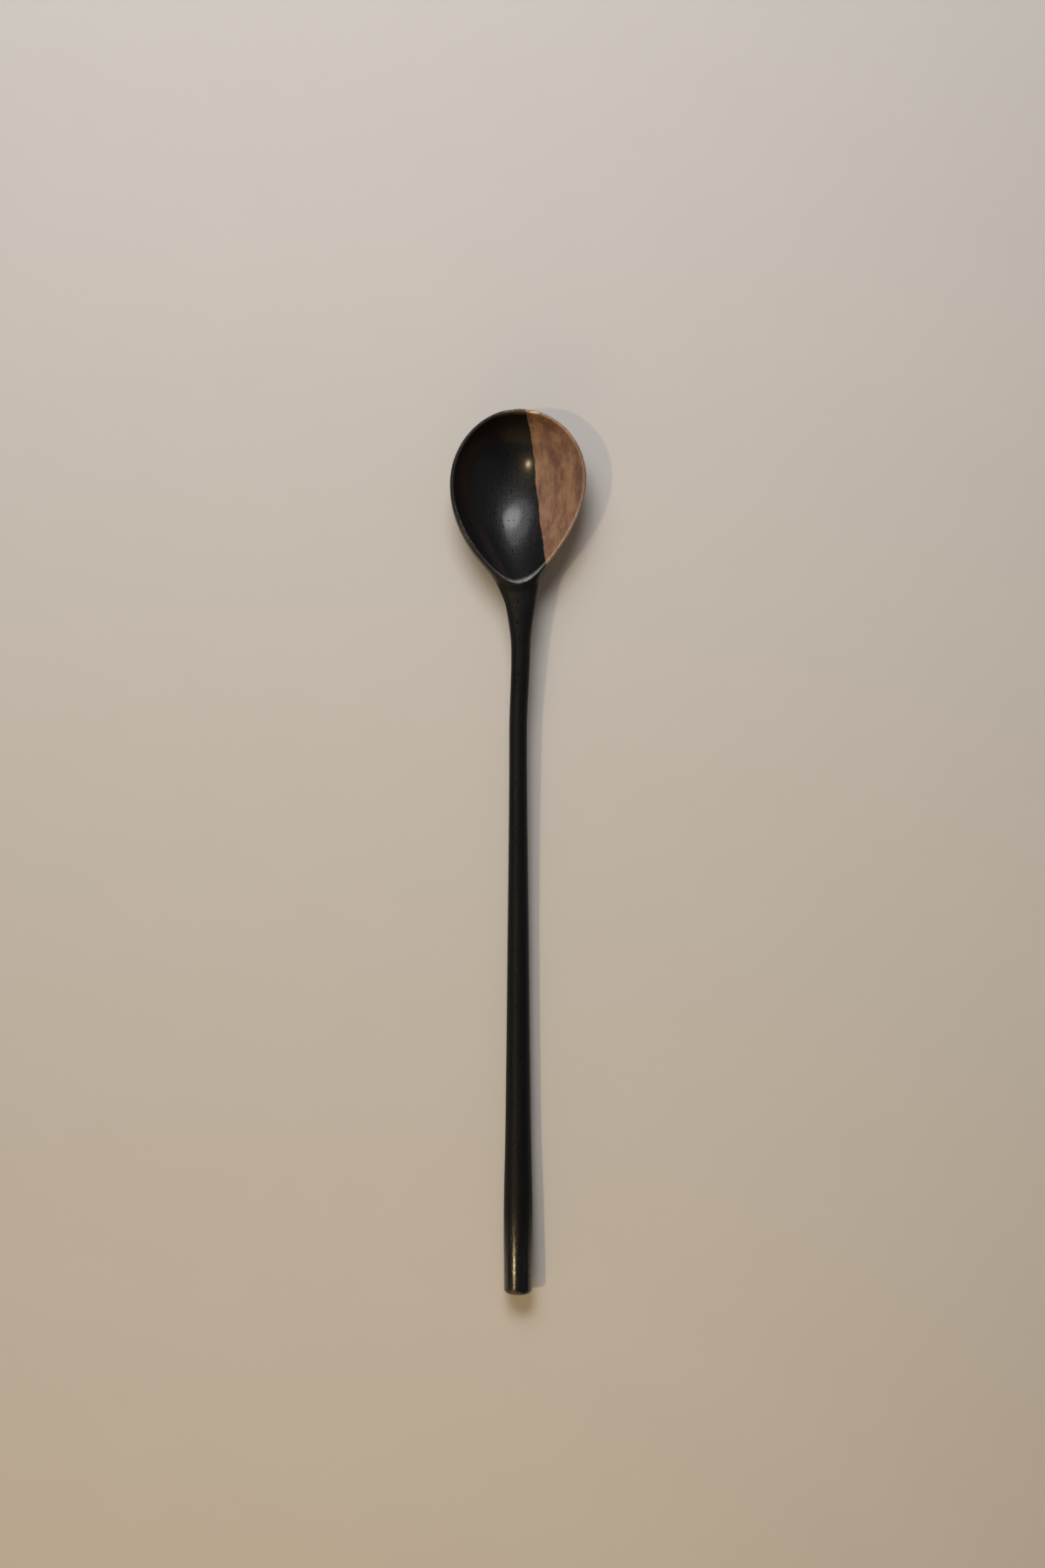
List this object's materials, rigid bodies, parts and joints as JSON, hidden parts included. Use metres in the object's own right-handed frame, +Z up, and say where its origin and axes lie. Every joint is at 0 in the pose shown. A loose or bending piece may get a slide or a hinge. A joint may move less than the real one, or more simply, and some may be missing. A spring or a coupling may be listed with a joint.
{
  "type": "wooden spoon",
  "caption": "Long-handled carved spoon with a small teardrop bowl, arched neck and round tapering stem; dark heartwood with brown sapwood down one side of the bowl.",
  "frame": {"origin": "centre of the small flat foot under the bowl, on the plane the spoon rests on", "axes": "+Y along the handle's axis towards the tip of the bowl, +Z up out of the hollow, +X to the right seen from above with the tip away"},
  "size_m": [0.0384, 0.25, 0.0127],
  "materials": {
    "heartwood": "near-black heartwood, hand rubbed to a satin sheen, with fine lengthwise pores",
    "sapwood": "brown sapwood, satin, mottled with darker streaks along the grain"
  },
  "bodies": {
    "root": {"heartwood_body": "heartwood", "sapwood_side": "sapwood"}
  },
  "joints": []
}
